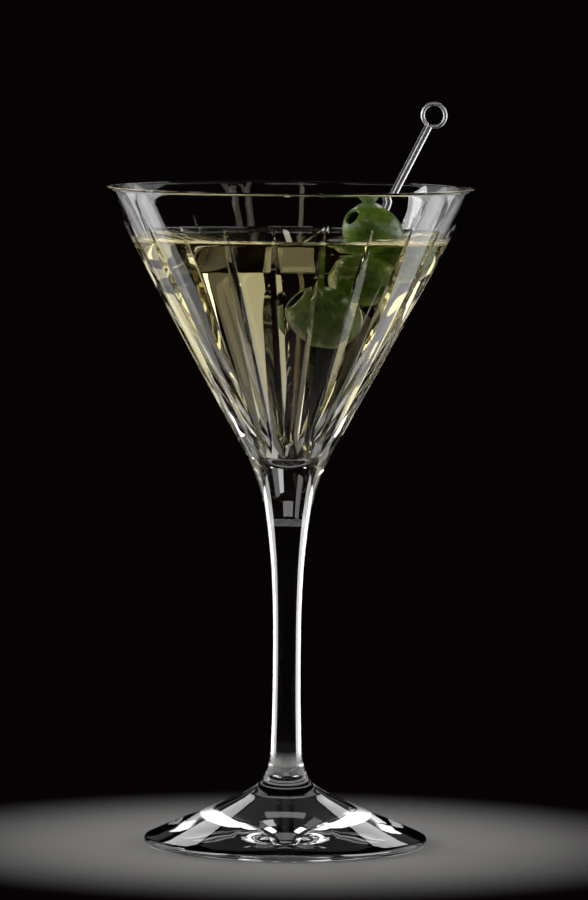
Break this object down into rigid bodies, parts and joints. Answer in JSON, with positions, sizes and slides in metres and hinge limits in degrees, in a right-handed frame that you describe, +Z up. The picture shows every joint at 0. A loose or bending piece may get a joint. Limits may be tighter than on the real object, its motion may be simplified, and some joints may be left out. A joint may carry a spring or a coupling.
{
  "type": "martini cocktail",
  "caption": "Clear cocktail in a cut, cone-shaped stemmed glass, with green olives on a double-wire pick whose end is a round eye.",
  "frame": {"origin": "centre of the foot's underside, on the surface the glass stands on", "axes": "+Z up along the stem; the viewer is on the -Y side, and the pick leans up towards +X and +Y"},
  "size_m": [0.108, 0.108, 0.2188],
  "materials": {
    "clear_glass": "clear, polished, with polished mitre cuts",
    "drink": "clear pale straw liquid",
    "olive": "wet, finely mottled green skin",
    "steel": "polished stainless steel wire"
  },
  "bodies": {
    "root": {"glass": "clear_glass", "drink": "drink", "olive_top": "olive", "olive_middle": "olive", "olive_bottom": "olive", "pick": "steel"}
  },
  "joints": []
}
